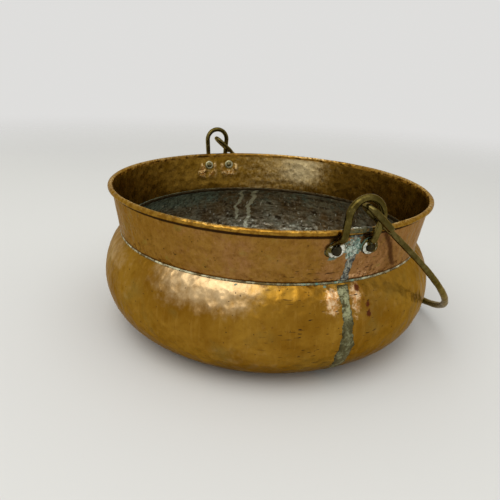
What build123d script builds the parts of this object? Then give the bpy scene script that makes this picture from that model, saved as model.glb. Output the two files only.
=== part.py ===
from build123d import *
from math import asin, atan2, cos, degrees, radians, sin, sqrt, tan
import os

# A riveted copper cauldron with a swinging bail handle, in millimetres.
# The origin is the middle of the bottom, on the table. +Z points up, the bail ears stand
# at -Y (front) and +Y (back), and the handle lies folded down on the +X side.

# Sheet metal of the pot: outer sizes
sheet = 1.2                 # thickness of the beaten copper
rim_radius = 175.0          # outermost radius of the rolled rim
neck_spread = 11.3          # how much further out the rim stands than the waist
neck_height = 48.7          # waist up to the middle of the rolled rim
waist_height = 104.4        # table up to the waist
belly_bulge = 18.0          # how far the belly stands outside the waist
belly_height = 58.7         # table up to the widest part, and radius of the bottom corner
shoulder_slope = 38.0       # angle of the shoulder from the level at the waist
shoulder_first_turn = 29.0  # degrees of the shoulder's lower arc, above the widest part

# Rolled rim
bead_radius = 2.6           # outer radius of the roll
bead_turn = 294.0           # degrees that the sheet is rolled round the wire
wire_play = 0.1             # round the iron wire inside the roll

# Brazed joints
lip_height = 3.0            # height of the belly's lip inside the neck
lip_bend = 1.5              # outer radius of the bend at the foot of the lip
neck_edge_lift = 1.2        # waist corner up to the cut edge of the neck
braze_reach = 1.2           # how far the waist braze runs out on the shoulder
braze_climb = 0.3           # and up the neck
flange_radius = 114.0       # inner edge of the belly sheet, turned in under the bottom
lap_width = 7.0             # overlap of the bottom pan on that flange
joggle_length = 4.0         # run of the step pressed into the bottom pan
bottom_braze = 3.5          # width of the braze round the bottom pan
braze_edge = 0.15           # thickness of that braze where it runs out
seam_proud = 0.3            # height of the upright seams above the sheet

# Upright seams, left and right of the front ear's middle, from their lower end to the upper
belly_seam_middle = [-3.0, -3.6, -4.8, -5.5, -6.2, -5.6]
belly_seam_half_widths = [5.6, 7.2, 6.6, 5.3, 4.4, 5.8]
neck_seam_middle = [-3.0, -2.4, -1.4, -0.6]
neck_seam_half_widths = [4.0, 3.4, 3.4, 3.4]

# Ears of brass rod
ear_stand = 179.2           # middle of the ear rods, outside the rolled rim
leg_drop = 3.3              # rim middle down to the end of the round leg
foot_length = 19.0          # flattened foot, along its own slope
foot_width = 15.5
foot_thickness = 2.8
foot_edge = 0.9             # rounding of the foot's edge
foot_sag = 1.0              # how far the step in under the rim hangs below a straight line
oval_width = 1.35           # sides of the leg where it is half flattened, over the round rod's
oval_depth = 0.8
root_width = 2.0            # width of the leg where it runs into the foot, over the round rod's

# Rivets and the round washers under their inner ends
shank_radius = 2.5
rivet_play = 0.08
head_radius = 5.0
head_height = 2.6
peen_radius = 3.3
peen_height = 1.4
washer_radius = 5.85
washer_thickness = 1.0

# Solder and verdigris crust at the front ear
solder_from = -15.0         # solder on the rim, from here to there across the ear's middle
solder_to = 11.0
solder_thickness = 0.9
crust_thickness = 1.3
crust_middle = -1.4         # to the left of the front ear's middle
crust_half_width = 9.0
crust_half_height = 10.5

# Bail handle of tapering rod
pivot_rise = 22.7           # rim middle up to the line that the handle swings on
hook_rod = 2.75             # radius of the rod at the hooks
crown_rod = 3.9             # radius of the rod at the crown
hook_play = 0.95            # between the hook's legs and the ear rod
bow_radius = 182.9          # middle line of the bow
bow_offset = 76.7           # swing line to the bow's centre
tip_length = 30.0           # hook's bend to the end of the tip
tip_straight = 22.0
tip_nip = 0.6               # how far the end of the tip is nipped in
tip_bend = 20.0             # radii of the rod's bends, from the tip to the bow
flare_bend = 12.0
bow_bend = 26.0
tip_round = 1.6
inner_straight = 22.6       # hook's bend to where the rod turns out over the rim
flare_end = 36.5
bow_start = 60.0
crown_clearance = 0.3       # crown to the table when the handle lies folded

# Each ear is bent by hand, so each has its own sizes. Across is towards +X. The legs come
# together below the arch by the draws, in degrees.
ears = {
    "front": dict(side=-1, rod=3.2, arch=16.6, top=30.0, lean=8.5, shift=-1.9,
                  left_draw=2.5, right_draw=11.0, left=-18.0, right=15.3,
                  rivet_drop=15.9, splay=24.0),
    "back": dict(side=1, rod=2.95, arch=14.0, top=35.0, lean=0.0, shift=0.6,
                 left_draw=4.0, right_draw=4.0, left=-14.7, right=14.9,
                 rivet_drop=12.7, splay=14.0),
}

# Places worked out from the sizes above
waist_radius = rim_radius - neck_spread
belly_radius = waist_radius + belly_bulge
flat_radius = belly_radius - belly_height
rim_height = waist_height + neck_height
bead_middle = Vector(rim_radius - bead_radius, rim_height)
wire_radius = bead_radius - sheet - wire_play
pan_radius = flange_radius + lap_width

# The neck's inner face is one straight line, from the waist to where it meets the roll.
neck_foot = Vector(waist_radius - sheet, waist_height)
to_bead = bead_middle - neck_foot
flare = degrees(atan2(to_bead.Y, to_bead.X))
flare = 90 - flare - degrees(asin(bead_radius / to_bead.length))
neck_up = Vector(sin(radians(flare)), cos(radians(flare)))
neck_out = Vector(cos(radians(flare)), -sin(radians(flare)))
neck_top = bead_middle - neck_out * bead_radius

swing_height = rim_height + pivot_rise
hook_gap = ears["front"]["rod"] + hook_rod + hook_play
crown_reach = bow_offset + bow_radius
fold = asin((swing_height - crown_rod - crown_clearance) / crown_reach)


def neck_radius(height):
    """Radius of the neck's outer face at a height."""
    foot = waist_radius - sheet + sheet / cos(radians(flare))
    return foot + (height - waist_height) * tan(radians(flare))


def seat(side, across, height):
    """Plane on the neck's outer face, looking straight out of the sheet."""
    radius = neck_radius(height)
    along = sqrt(radius ** 2 - across ** 2)
    level_out = Vector(across, side * along, 0) / radius
    out = level_out * cos(radians(flare)) - Vector(0, 0, sin(radians(flare)))
    place = (across, side * along, height)
    return Plane(origin=place, x_dir=Vector(0, 0, 1).cross(level_out), z_dir=out)


def upright_plane(turn):
    """Plane through the pot's axis that faces across a given direction in degrees."""
    a = radians(turn)
    return Plane(origin=(0, 0, 0), x_dir=(cos(a), sin(a), 0), z_dir=(sin(a), -cos(a), 0))


def save(piece, name):
    piece.part.label = name
    export_step(piece.part, f"parts/{name}.step")


os.makedirs("parts", exist_ok=True)

# Outlines of the sheets, drawn across the wall and turned round the pot's axis.
# Belly: flange, round corner, shoulder, and the lip that stands inside the neck.
slope_in = Vector(-cos(radians(shoulder_slope)), sin(radians(shoulder_slope)))
bend_turn = 180 - shoulder_slope - (90 - flare)
bend_start = neck_foot - slope_in * (lip_bend * tan(radians(bend_turn / 2)))
widest = Vector(belly_radius, belly_height)

# The shoulder is two arcs in line with each other. Their radii follow from where it ends.
shoulder_turn = 90 - shoulder_slope
drop_1 = 1 - cos(radians(shoulder_first_turn))
rise_1 = sin(radians(shoulder_first_turn))
drop_2 = cos(radians(shoulder_first_turn)) - cos(radians(shoulder_turn))
rise_2 = sin(radians(shoulder_turn)) - rise_1
run = widest.X - bend_start.X
climb = bend_start.Y - widest.Y
upper_radius = (run * rise_1 - climb * drop_1) / (drop_2 * rise_1 - rise_2 * drop_1)
lower_radius = (climb - upper_radius * rise_2) / rise_1

with BuildLine() as belly_outside:
    Line((flange_radius, 0), (flat_radius, 0))
    CenterArc((flat_radius, belly_height), belly_height, -90, 90)
    lower_arc = JernArc(widest, (0, 1), lower_radius, shoulder_first_turn)
    JernArc(lower_arc @ 1, lower_arc % 1, upper_radius, shoulder_turn - shoulder_first_turn)
    lip_foot = JernArc(bend_start, slope_in, lip_bend, -bend_turn)
    Line(lip_foot @ 1, lip_foot @ 1 + neck_up * lip_height)

with BuildSketch(Plane.XZ) as belly_wall:
    with BuildLine():
        add(belly_outside.line)
        offset(amount=sheet, side=Side.LEFT)
    make_face()

# Neck: the straight band, then the roll round the rim wire.
neck_edge = neck_foot + neck_up * neck_edge_lift


def neck_outline(thickness):
    """Section of the neck band from its cut edge to the foot of the roll."""
    with BuildSketch(Plane.XZ) as band:
        with BuildLine():
            Polyline(
                neck_edge,
                neck_top,
                neck_top + neck_out * thickness,
                neck_edge + neck_out * thickness,
                close=True,
            )
        make_face()
    return band.sketch


with BuildSketch(Plane.XZ) as neck_wall:
    with BuildLine():
        band_inner = Line(neck_edge, neck_top)
        band_outer = Line(neck_edge + neck_out * sheet, neck_top + neck_out * sheet)
        roll_outer = JernArc(band_inner @ 1, neck_up, bead_radius, -bead_turn)
        roll_inner = JernArc(band_outer @ 1, neck_up, bead_radius - sheet, -bead_turn)
        Line(band_inner @ 0, band_outer @ 0)
        Line(roll_outer @ 1, roll_inner @ 1)
    make_face()

# Bottom pan: a flat disc whose edge steps up over the belly's flange.
with BuildSketch(Plane.XZ) as pan_wall:
    with BuildLine():
        Polyline(
            (0, 0),
            (flange_radius - 2 * joggle_length, 0),
            (flange_radius - joggle_length, sheet),
            (pan_radius, sheet),
        )
        offset(amount=sheet, side=Side.LEFT)
    make_face()

# Upright seams. Each is a strip of braze a little proud of the sheet, in a slot of the same
# outline, drawn from the front: a drifting middle line and half widths at even heights.
seam_inner_end = flat_radius + 3


def strip_outline(plane, low, high, middle, half_widths):
    """Uneven strip between two heights, with two wandering sides."""
    rise = (high - low) / (len(middle) - 1)
    left, right = [], []
    for step, (across, half) in enumerate(zip(middle, half_widths)):
        left.append((across - half, low + step * rise))
        right.append((across + half, low + step * rise))
    with BuildSketch(plane) as strip:
        with BuildLine():
            side_1 = Spline(*left)
            side_2 = Spline(*right)
            Line(side_1 @ 0, side_2 @ 0)
            Line(side_1 @ 1, side_2 @ 1)
        make_face()
    return strip.sketch


braze_foot = neck_foot - slope_in * (sheet + braze_reach)
belly_strip = strip_outline(
    Plane.XZ.offset(seam_inner_end),
    -sheet,
    braze_foot.Y,
    belly_seam_middle,
    belly_seam_half_widths,
)
neck_strip = strip_outline(
    Plane.XZ.offset(seam_inner_end),
    neck_edge.Y - sheet,
    rim_height - bead_radius - sheet,
    neck_seam_middle,
    neck_seam_half_widths,
)

# Belly shell: one beaten ring from the bottom flange to the lip, slotted for its seam
with BuildPart() as belly_shell:
    add(belly_wall.sketch)
    revolve(axis=Axis.Z)
    extrude(belly_strip, amount=belly_radius, mode=Mode.SUBTRACT)
save(belly_shell, "belly_shell")

with BuildPart() as belly_seam:
    with BuildSketch(Plane.XZ):
        with BuildLine():
            add(belly_outside.line)
            offset(amount=seam_proud, side=Side.RIGHT)
        make_face()
        add(belly_wall.sketch)
    revolve(axis=Axis.Z)
    extrude(belly_strip, amount=belly_radius, mode=Mode.INTERSECT)
save(belly_seam, "belly_seam")

# Bottom pan and the ring of braze round its edge, inside
with BuildPart() as bottom_pan:
    add(pan_wall.sketch)
    revolve(axis=Axis.Z)
save(bottom_pan, "bottom_pan")

with BuildPart() as bottom_seam:
    with BuildSketch(Plane.XZ):
        with BuildLine():
            Polyline(
                (pan_radius, sheet / 2),
                (pan_radius + bottom_braze, sheet / 2),
                (pan_radius + bottom_braze, sheet + braze_edge),
                (pan_radius, 2 * sheet - braze_edge),
                close=True,
            )
        make_face()
        add(belly_wall.sketch, mode=Mode.SUBTRACT)
    revolve(axis=Axis.Z)
save(bottom_seam, "bottom_seam")

# Rivet places, two for each ear
seats = {}
for ear, size in ears.items():
    for hand in ("left", "right"):
        seats[ear, hand] = seat(size["side"], size[hand], rim_height - size["rivet_drop"])

# Neck band with the rolled rim, slotted for its seam and bored for the rivets
with BuildPart() as neck_band:
    add(neck_wall.sketch)
    revolve(axis=Axis.Z)
    extrude(neck_strip, amount=rim_radius, mode=Mode.SUBTRACT)
    for place in seats.values():
        with BuildSketch(place.offset(-2 * sheet)):
            Circle(shank_radius + rivet_play)
        extrude(amount=3 * sheet, mode=Mode.SUBTRACT)
save(neck_band, "neck_band")

with BuildPart() as neck_seam:
    with BuildSketch(Plane.XZ):
        add(neck_outline(sheet + seam_proud))
    revolve(axis=Axis.Z)
    extrude(neck_strip, amount=rim_radius, mode=Mode.INTERSECT)
save(neck_seam, "neck_seam")

# Iron wire inside the rolled rim
with BuildPart() as rim_wire:
    with BuildSketch(Plane.XZ):
        with Locations(bead_middle):
            Circle(wire_radius)
    revolve(axis=Axis.Z)
save(rim_wire, "rim_wire")

# Braze in the corner of the waist, under the neck's cut edge
neck_edge_outer = neck_edge + neck_out * sheet
with BuildPart() as waist_seam:
    with BuildSketch(Plane.XZ):
        with BuildLine():
            Polyline(
                neck_edge - neck_out * sheet / 2,
                neck_edge_outer + neck_up * braze_climb,
                neck_edge_outer + neck_up * braze_climb + neck_out * braze_climb / 2,
                braze_foot,
                braze_foot - Vector(sheet, sheet) / 2,
                close=True,
            )
        make_face()
        add(belly_wall.sketch, mode=Mode.SUBTRACT)
        add(neck_wall.sketch, mode=Mode.SUBTRACT)
    revolve(axis=Axis.Z)
    add(neck_seam.part, mode=Mode.SUBTRACT)
    add(belly_seam.part, mode=Mode.SUBTRACT)
save(waist_seam, "waist_seam")

# Everything inside the neck's outer face and the rolled rim, to seat other pieces on
with BuildPart() as neck_form:
    with BuildSketch(Plane.XZ):
        with BuildLine():
            Polyline(
                (0, waist_height),
                (neck_radius(waist_height), waist_height),
                (neck_radius(rim_height), rim_height),
                (0, rim_height),
                close=True,
            )
        make_face()
        with Locations(bead_middle):
            Circle(bead_radius + wire_play)
    revolve(axis=Axis.Z)


def hammered_foot(place, turn, end, down, rod):
    """Foot flattened round its rivet and rounded over its outer edge. The round leg end is
    hammered down into it by way of an oval."""
    root = place.origin + place.z_dir * (foot_thickness / 2)
    root = root + Vector(0, 0, foot_width / 2 - foot_thickness)
    middle = (end + root) / 2 - Vector(0, 0, foot_sag)
    with BuildPart() as foot:
        with BuildSketch(place.offset(-sheet)):
            Ellipse(foot_length / 2, foot_width / 2, rotation=turn)
        extrude(amount=foot_thickness + sheet)
        outer = foot.faces().sort_by(Axis(place.origin, place.z_dir))[-1]
        fillet(outer.edges(), foot_edge)
        with BuildSketch(Plane(origin=end, x_dir=(1, 0, 0), z_dir=down)):
            Circle(rod)
        with BuildSketch(Plane(origin=middle, x_dir=(1, 0, 0), z_dir=root - end)):
            Ellipse(rod * oval_width, rod * oval_depth)
        with BuildSketch(Plane(origin=root, x_dir=(1, 0, 0), z_dir=(0, 0, -1))):
            Ellipse(rod * root_width, foot_thickness / 2 - rivet_play)
        loft()
        add(neck_form.part, mode=Mode.SUBTRACT)
    return foot.part


# Ears: an arch of rod whose legs come down outside the rim, step in under it, and end in
# feet hammered flat on the neck
bail_ears = {}
for ear, size in ears.items():
    upright = Plane(
        origin=(size["shift"], size["side"] * ear_stand, rim_height),
        x_dir=(cos(radians(size["lean"])), 0, -sin(radians(size["lean"]))),
        z_dir=(0, -1, 0),
    )
    with BuildLine() as bent:
        arc_1 = JernArc((0, size["top"]), (-1, 0), size["arch"], 90 + size["left_draw"])
        arc_2 = JernArc((0, size["top"]), (1, 0), size["arch"], -90 - size["right_draw"])
        leg_1 = Line(arc_1 @ 1, arc_1 @ 1 + (arc_1 % 1) * ((arc_1 @ 1).Y + leg_drop))
        leg_2 = Line(arc_2 @ 1, arc_2 @ 1 + (arc_2 % 1) * ((arc_2 @ 1).Y + leg_drop))
    rod_line = upright.location * bent.wire()
    with BuildPart() as bail_ear:
        with BuildSketch(Plane(origin=rod_line @ 0, z_dir=rod_line % 0)):
            Circle(size["rod"])
        sweep(path=rod_line)
        for hand, last, splay in (("left", leg_1, size["splay"]), ("right", leg_2, -size["splay"])):
            place = seats[ear, hand]
            end = upright.from_local_coords(last @ 1)
            down = upright.from_local_coords(last % 1) - upright.origin
            add(hammered_foot(place, -size["side"] * splay, end, down, size["rod"]))
        for hand in ("left", "right"):
            place = seats[ear, hand]
            with BuildSketch(place.offset(-sheet)):
                Circle(shank_radius + rivet_play)
            extrude(amount=foot_thickness + sheet, mode=Mode.SUBTRACT)
            with BuildSketch(place.offset(foot_thickness)):
                Circle(head_radius + rivet_play)
            extrude(amount=head_height, mode=Mode.SUBTRACT)
    save(bail_ear, f"{ear}_ear")
    bail_ears[ear] = bail_ear.part

# Rivets, headed outside, and the washers that their inner ends are beaten over
inner = -sheet - washer_thickness
for (ear, hand), place in seats.items():
    with BuildPart() as rivet:
        with BuildSketch(Plane(origin=place.origin, x_dir=place.x_dir, z_dir=-place.y_dir)):
            with BuildLine():
                crown = TangentArc(
                    (0, foot_thickness + head_height),
                    (head_radius, foot_thickness),
                    tangent=(1, 0),
                )
                peen = TangentArc((0, inner - peen_height), (peen_radius, inner), tangent=(1, 0))
                Polyline(
                    crown @ 1,
                    (shank_radius, foot_thickness),
                    (shank_radius, inner),
                    peen @ 1,
                )
                Line(peen @ 0, crown @ 0)
            make_face()
        revolve(axis=Axis(place.origin, place.z_dir))
    save(rivet, f"{ear}_{hand}_rivet")
    with BuildPart() as washer:
        with BuildSketch(place.offset(inner)):
            Circle(washer_radius)
            Circle(shank_radius + rivet_play, mode=Mode.SUBTRACT)
        extrude(amount=washer_thickness + sheet / 2)
        add(neck_band.part, mode=Mode.SUBTRACT)
    save(washer, f"{ear}_{hand}_washer")

# Solder run over the rim between the front ear's legs
solder_left = -90 + degrees(asin(solder_from / rim_radius))
solder_turn = degrees(asin(solder_to / rim_radius)) - 90 - solder_left
with BuildPart() as rim_solder:
    with BuildSketch(upright_plane(solder_left)):
        with Locations(bead_middle):
            Circle(bead_radius + wire_play / 2 + solder_thickness)
            Circle(bead_radius + wire_play / 2, mode=Mode.SUBTRACT)
        with Locations(bead_middle - Vector(0, bead_radius)):
            Rectangle(4 * bead_radius, 2 * bead_radius, mode=Mode.SUBTRACT)
    revolve(axis=Axis.Z, revolution_arc=solder_turn)
save(rim_solder, "rim_solder")

# Crust of solder and verdigris on the neck between the front ear's feet
with BuildPart() as ear_crust:
    with BuildSketch(Plane.XZ):
        add(neck_outline(sheet + crust_thickness))
    revolve(axis=Axis.Z)
    with BuildSketch(Plane.XZ.offset(seam_inner_end)):
        with Locations((crust_middle, rim_height - ears["front"]["rivet_drop"])):
            Ellipse(crust_half_width, crust_half_height)
    extrude(amount=rim_radius, mode=Mode.INTERSECT)
    add(neck_form.part, mode=Mode.SUBTRACT)
    add(bail_ears["front"], mode=Mode.SUBTRACT)
    add(neck_seam.part, mode=Mode.SUBTRACT)
save(ear_crust, "ear_crust")

# Handle: half of its middle line from a tip to the crown, with the swing line at height 0
hook_out = ear_stand + hook_gap
hook_in = ear_stand - hook_gap
bow_middle = Vector(0, bow_offset)
bow_turn = degrees(asin((bow_start - bow_offset) / bow_radius))
bow_end = bow_middle + Vector(cos(radians(bow_turn)), sin(radians(bow_turn))) * bow_radius
bow_up = Vector(-sin(radians(bow_turn)), cos(radians(bow_turn)))
flare_corner = bow_end - bow_up * ((bow_start - flare_end) / bow_up.Y)

with BuildLine() as hook_line:
    FilletPolyline(
        (hook_out - tip_nip, tip_length),
        (hook_out, tip_straight),
        (hook_out, 0),
        (hook_in, 0),
        (hook_in, inner_straight),
        flare_corner,
        bow_end,
        radius=[tip_bend, hook_gap, hook_gap, flare_bend, bow_bend],
    )
with BuildLine() as bow_line:
    CenterArc(bow_middle, bow_radius, bow_turn, 180 - 2 * bow_turn)

folded = Plane(
    origin=(0, 0, swing_height),
    x_dir=(0, 1, 0),
    z_dir=(-sin(fold), 0, -cos(fold)),
)
with BuildPart() as flat_handle:
    hook = hook_line.wire()
    with BuildSketch(Plane(origin=hook @ 0, z_dir=hook % 0)):
        Circle(hook_rod)
    sweep(path=hook)
    tip_edge = edges().filter_by(GeomType.CIRCLE).sort_by_distance(hook @ 0)[0]
    fillet(tip_edge, tip_round)
    mirror(about=Plane.YZ)
    bow = bow_line.wire()
    with BuildSketch(Plane(origin=bow @ 0, z_dir=bow % 0)) as thin:
        Circle(hook_rod)
    with BuildSketch(Plane(origin=bow @ 0.5, z_dir=bow % 0.5)) as thick:
        Circle(crown_rod)
    with BuildSketch(Plane(origin=bow @ 1, z_dir=bow % 1)) as thin_again:
        Circle(hook_rod)
    sweep(sections=[thin.sketch, thick.sketch, thin_again.sketch], path=bow, multisection=True)

with BuildPart() as handle:
    add(folded.location * flat_handle.part)
save(handle, "handle")
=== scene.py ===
import math

import bmesh
import bpy
import numpy as np
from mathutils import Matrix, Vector


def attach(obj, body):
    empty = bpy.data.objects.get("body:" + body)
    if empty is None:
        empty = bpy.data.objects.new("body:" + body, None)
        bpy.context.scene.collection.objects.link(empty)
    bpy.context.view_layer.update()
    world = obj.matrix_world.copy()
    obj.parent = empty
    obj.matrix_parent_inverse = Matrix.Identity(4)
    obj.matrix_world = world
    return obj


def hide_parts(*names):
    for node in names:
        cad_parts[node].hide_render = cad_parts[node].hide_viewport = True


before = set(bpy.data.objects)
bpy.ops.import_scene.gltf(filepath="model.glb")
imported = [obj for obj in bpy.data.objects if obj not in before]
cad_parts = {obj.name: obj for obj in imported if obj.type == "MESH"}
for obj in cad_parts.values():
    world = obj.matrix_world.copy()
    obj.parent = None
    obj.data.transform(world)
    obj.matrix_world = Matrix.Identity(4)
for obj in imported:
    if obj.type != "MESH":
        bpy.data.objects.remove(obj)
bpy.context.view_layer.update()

# Looks of a beaten copper cauldron. Shapes are worked out in millimetres and put into the
# meshes in metres. The pot's axis is Z, the ear with the seams under it stands at -Y, and the
# handle lies folded down on the +X side.
MM = 0.001

# Sheet copper
SHEET = 1.2
WAIST = np.array([162.5, 104.4])        # corner where the neck's inner face meets the shoulder
FLARE = math.radians(8.492)             # lean of the neck
NECK_UP = np.array([math.sin(FLARE), math.cos(FLARE)])
NECK_OUT = np.array([math.cos(FLARE), -math.sin(FLARE)])
FLANGE = 114.0                          # inner edge of the belly sheet, under the bottom
FLAT = 123.0                            # where the bottom corner begins
BELLY = np.array([181.7, 58.7])         # widest part
SLOPE = 38.0                            # shoulder at the waist, degrees from the level
LOWER_TURN = 29.0                       # degrees of the shoulder's lower arc
LIP = 3.0                               # lip that stands inside the neck
LIP_BEND = 1.5
BEAD = np.array([172.4, 153.1])         # middle of the rolled rim
BEAD_RADIUS = 2.6
BEAD_TURN = 294.0
CUT_EDGE = 1.2                          # waist corner up to the neck's cut edge

# Ears and rivets
EAR_STAND = 179.2
LEG_DROP = 3.3
FOOT = (19.0, 15.5, 2.8)                # length, width and thickness of a hammered foot
HEAD = (5.0, 2.6)                       # radius and height of a rivet's head
PEEN = (3.3, 1.4)
WASHER = (5.85, 1.0)
WASHER_FACE = -SHEET - WASHER[1]        # from the neck's outer face in to the washer's face
SHANK = 2.5
EARS = {
    "front": dict(side=-1, rod=3.2, arch=16.6, top=30.0, lean=8.5, shift=-1.9, draws=(2.5, 11.0),
                  left=-18.0, right=15.3, drop=15.9, splay=24.0),
    "back": dict(side=1, rod=2.95, arch=14.0, top=35.0, lean=0.0, shift=0.6, draws=(4.0, 4.0),
                 left=-14.7, right=14.9, drop=12.7, splay=14.0),
}
WELD_GRID = 0.42                        # voxels that join an ear's rod to its feet
SOLDER_X = (-16.0, 12.5)                # reach of the solder along the rim
SOLDER_FADE = 2.5
CRUST_MIDDLE = (-1.4, 137.5)
CRUST_HALF = (9.0, 10.3)

# Handle
SWING = 175.8                           # height of the line that the handle swings on
FOLD = math.radians(41.377)
HOOK_GAP = 6.9
HOOK_ROD = 2.75
CROWN_ROD = 3.9
BOW_RADIUS = 182.9
BOW_OFFSET = 76.7
BOW_START = 60.0                        # from the swing line out to where the bow begins
HOOK_CORNER = 36.5                      # and to where the hook bends towards it
HOOK_FILLETS = (20.0, HOOK_GAP, HOOK_GAP, 12.0, 26.0)
TIP = 1.6                               # rounded end of the rod

# Floor, light and camera, in metres and watts
FLOOR_RADIUS = 3
FLOOR_SIDES = 96
FLOOR_FADE = (0.75, 2.2)
FLOOR_SEEN = (0.735, 0.730, 0.718)      # tone that the floor fades to
SKY = (1.0, 0.985, 0.955)
SKY_STRENGTH = 0.70
LAMPS = [
    dict(name="window", place=(-1.08, -0.60, 1.85), target=(-0.05, -0.1, 0.08), size=1.6, power=15,
         colour=(1.0, 0.98, 0.95)),
    dict(name="ceiling", place=(-0.1, -0.8, 2.3), target=(0, 0, 0.1), size=2.6, power=20, colour=(1, 1, 1)),
]
CAMERA_PLACE = (-0.23909, -0.48938, 0.27865)
CAMERA_TURN = (69.176, -2.667, -23.079)
CAMERA_LENS = 35.6
CAMERA_FILM = 36.0

ALL_ROUND = 2 * math.pi
WAVE = 6.283                            # one wave, in radians
ANY_PHASE = 6.3
FASTEST_DRIFT = 6
DRIFT_LENGTH = 160.0

GRAZING = (0.80, 0.67, 0.48)            # tint of metal seen along its surface

# Soft spots at the front of the belly and the neck, and inside the neck at the back. Each has
# the x and z of its middle, its half sizes across and up, and its strength.
BELLY_POLISH = [(-19, 87, 9, 10, 1), (4.5, 86, 6, 14, 0.8), (-16, 97, 8, 6, 0.75), (7, 97, 9, 7, 0.6)]
BELLY_STAINS = [(16.8, 85, 2.5, 3.4, 1), (17.4, 77, 2.7, 3.6, 1.1), (8.4, 99, 3.4, 3.4, 1),
                (12.5, 91, 2.2, 4.5, 0.55), (-70, 71.8, 1.0, 1.0, 1)]
BELLY_DASHES = [(-34, 66, 40, 34, 1), (14, 80, 20, 40, 1)]
BELLY_GREEN = [(-93, 101.7, 1.2, 0.9, 1.1), (-22, 101.7, 1.6, 1.0, 1.1)]
NECK_STAINS = [(24, 114, 3, 6, 0.6), (1, 125, 13, 3, 0.5)]
NECK_DASHES = [(-32, 114, 26, 9, 1), (18, 116, 16, 11, 1)]
NECK_GREEN = [(-6.7, 105.6, 3.2, 1.6, 1.1), (-19, 130, 6, 6, 0.9), (0, 148, 16, 3.5, 0.7)]
NECK_POLISH = [(8, 108, 34, 4.5, 0.75), (14, 120, 12, 8, 0.525), (-22, 124, 12, 8, 0.45)]
# The last table holds painted highlights: glints on the dents round the washers inside the neck.
WASHER_DENTS = [(-25, 130, 7, 6, 1), (-11, 128, 6, 4.5, 1), (15, 129, 9, 5, 1), (-24, 139, 4, 6, 0.8),
                (-6, 138, 4, 7, 0.8), (6, 137, 4, 7, 0.8), (24, 136, 4, 7, 0.7)]


# Lines and surfaces

def unit(angle):
    """Flat unit direction at an angle in radians."""
    return np.array([math.cos(angle), math.sin(angle)])


def units(vectors):
    """Rows of vectors, each brought to length 1."""
    return vectors / np.linalg.norm(vectors, axis=1, keepdims=True)


def heading(line):
    """Unit directions along a line at each of its points."""
    return units(np.gradient(line, axis=0))


def all_round(count):
    """Even angles round a full turn."""
    return np.linspace(0, ALL_ROUND, count, endpoint=False)


def arc(middle, radius, start, end, count):
    """Points on a circle from one angle to another, in degrees."""
    turn = np.radians(np.linspace(start, end, count))
    return np.c_[middle[0] + radius * np.cos(turn), middle[1] + radius * np.sin(turn)]


def lengths(line):
    """Distance along a line to each of its points."""
    return np.r_[0, np.cumsum(np.linalg.norm(np.diff(line, axis=0), axis=1))]


def read_off(line, run, at):
    """Points of a line at given distances along it."""
    return np.stack([np.interp(at, run, axis) for axis in line.T], axis=1)


def even(line, step):
    """The same line in even steps: its coordinates read off against the distance along it."""
    run = lengths(line)
    keep = np.r_[True, np.diff(run) > 1e-9]
    at = np.linspace(0, run[-1], max(2, int(round(run[-1] / step)) + 1))
    return read_off(line[keep], run[keep], at)


def right_hand(line):
    """Unit directions a quarter turn clockwise from a flat line's own."""
    along = heading(line)
    return np.c_[along[:, 1], -along[:, 0]]


def filleted(corners, radii, step=0.6):
    """Straight runs with an arc in each corner, whose ends lie r tan(turn / 2) from it."""
    corners = np.asarray(corners, float)
    line = [corners[:1]]
    for before, corner, after, radius in zip(corners, corners[1:], corners[2:], radii):
        come = (corner - before) / np.linalg.norm(corner - before)
        go = (after - corner) / np.linalg.norm(after - corner)
        turn = math.acos(np.clip(come @ go, -1, 1))
        back = radius * math.tan(turn / 2)
        inward = (go - come) / np.linalg.norm(go - come)
        middle = corner + inward * math.hypot(radius, back)
        share = np.linspace(-0.5, 0.5, max(3, int(radius * turn / step)))[:, None] * turn
        across = (come + go) / np.linalg.norm(come + go)
        line.append(middle - inward * radius * np.cos(share) + across * radius * np.sin(share))
    line.append(corners[-1:])
    return even(np.concatenate(line), step)


def blows(u, v, around, seed, jitter=0.75, sharp=9.0):
    """Soft squared distance to the nearest hammer blow. The blows stand one to a cell, shifted
    half a cell in every other row and thrown about by jitter, and close up after `around`
    cells. Near a ridge the blows on both sides count, by the log of a sum of exponentials."""
    rows = 128
    throw = np.random.default_rng(seed).random((rows, around, 2)) - 0.5
    row = np.floor(v).astype(int)
    total = np.zeros(np.broadcast(u, v).shape)
    for up in (-1, 0, 1):
        shift = 0.5 * ((row + up) % 2)
        column = np.floor(u - shift).astype(int)
        for side in (-1, 0, 1):
            spot = throw[(row + up) % rows, (column + side) % around]
            across = u - (column + side + shift + 0.5 + jitter * spot[..., 0])
            along = v - (row + up + 0.5 + jitter * spot[..., 1])
            total += np.exp(-sharp * (across ** 2 + along ** 2))
    return -np.log(total + 1e-12) / sharp


def swell(turn, along, seed, waves=9, fastest=9):
    """Slow unevenness between about -1 and 1: waves that close up round the pot, each drifting
    along the sheet."""
    draw = np.random.default_rng(seed)
    total = 0
    for _ in range(waves):
        beats = draw.integers(1, fastest)
        phase = draw.uniform(0, ANY_PHASE)
        drift = draw.uniform(-FASTEST_DRIFT, FASTEST_DRIFT)
        total = total + np.cos(beats * turn + phase + along / DRIFT_LENGTH * drift)
    return total / math.sqrt(waves)


def waver(at, seed, longest, octaves=4):
    """Unevenness along a line between about -1 and 1: each octave half as long and 0.6 as high
    as the last."""
    draw = np.random.default_rng(seed)
    waves = (0.6 ** k * np.sin(at * 2 ** k * WAVE / longest + draw.uniform(0, ANY_PHASE))
             for k in range(octaves))
    return sum(waves) / 1.6


def smooth(value, low, high):
    """0 below low, 1 above high, with an S between."""
    t = np.clip((value - low) / (high - low), 0, 1)
    return t * t * (3 - 2 * t)


def bell(value, middle, half):
    """Hump of height 1 round middle that falls off over half."""
    return np.exp(-((value - middle) / half) ** 2)


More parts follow.
